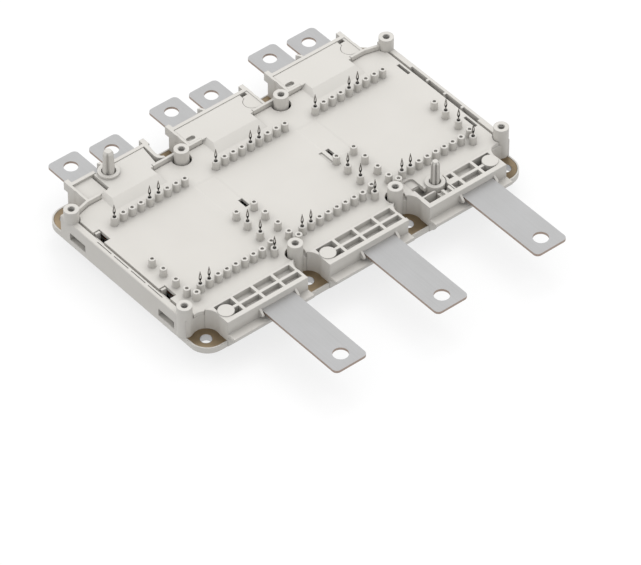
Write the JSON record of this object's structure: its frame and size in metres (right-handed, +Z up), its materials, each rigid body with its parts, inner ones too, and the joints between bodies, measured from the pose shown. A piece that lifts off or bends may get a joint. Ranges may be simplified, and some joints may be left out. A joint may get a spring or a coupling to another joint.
{
  "type": "three-phase igbt power module",
  "caption": "Flat power module with a ribbon-cooled metal plate, a light plastic frame and lid, board posts, signal pins and flat screw terminals along both sides.",
  "frame": {"origin": "centre of the mounting-hole pattern on the baseplate's underside", "axes": "+X along the module from the first phase to the third, +Y from the phase terminals to the direct-current terminals, +Z up out of the lid"},
  "size_m": [0.1544, 0.1509, 0.0297],
  "materials": {
    "nickel_plate": "satin nickel plating",
    "frame_plastic": "fine matt moulding",
    "lid_plastic": "fine matt moulding",
    "screw_steel": "zinc-plated",
    "ribbon_aluminium": "bright rolled ribbon",
    "bare_copper": "bare copper",
    "ceramic": "unglazed",
    "silicon": "dark metallised silicon",
    "wire_aluminium": "bright drawn wire",
    "thermistor": "dark ceramic chip",
    "tinned_copper": "bright tin plating",
    "plated_copper": "matt grey plating on copper",
    "insulator_film": "plain"
  },
  "bodies": {
    "root": {"baseplate": "nickel_plate", "frame": "frame_plastic", "lid": "lid_plastic", "frame_screws": "screw_steel", "cooling_ribbons_u": "ribbon_aluminium", "cooling_ribbons_v": "ribbon_aluminium", "cooling_ribbons_w": "ribbon_aluminium", "backing_copper_u": "bare_copper", "backing_copper_v": "bare_copper", "backing_copper_w": "bare_copper", "ceramic_u": "ceramic", "ceramic_v": "ceramic", "ceramic_w": "ceramic", "circuit_copper_u": "bare_copper", "circuit_copper_v": "bare_copper", "circuit_copper_w": "bare_copper", "igbt_chips_u": "silicon", "igbt_chips_v": "silicon", "igbt_chips_w": "silicon", "diode_chips_u": "silicon", "diode_chips_v": "silicon", "diode_chips_w": "silicon", "bond_wires_u": "wire_aluminium", "bond_wires_v": "wire_aluminium", "bond_wires_w": "wire_aluminium", "thermistor_u": "thermistor", "thermistor_v": "thermistor", "thermistor_w": "thermistor", "pin_sockets_u": "tinned_copper", "pin_sockets_v": "tinned_copper", "pin_sockets_w": "tinned_copper", "signal_pins_u": "tinned_copper", "signal_pins_v": "tinned_copper", "signal_pins_w": "tinned_copper", "phase_terminal_u": "plated_copper", "phase_terminal_v": "plated_copper", "phase_terminal_w": "plated_copper", "plus_terminal_u": "plated_copper", "plus_terminal_v": "plated_copper", "plus_terminal_w": "plated_copper", "minus_terminal_u": "plated_copper", "minus_terminal_v": "plated_copper", "minus_terminal_w": "plated_copper", "terminal_insulator_u": "insulator_film", "terminal_insulator_v": "insulator_film", "terminal_insulator_w": "insulator_film"}
  },
  "joints": []
}
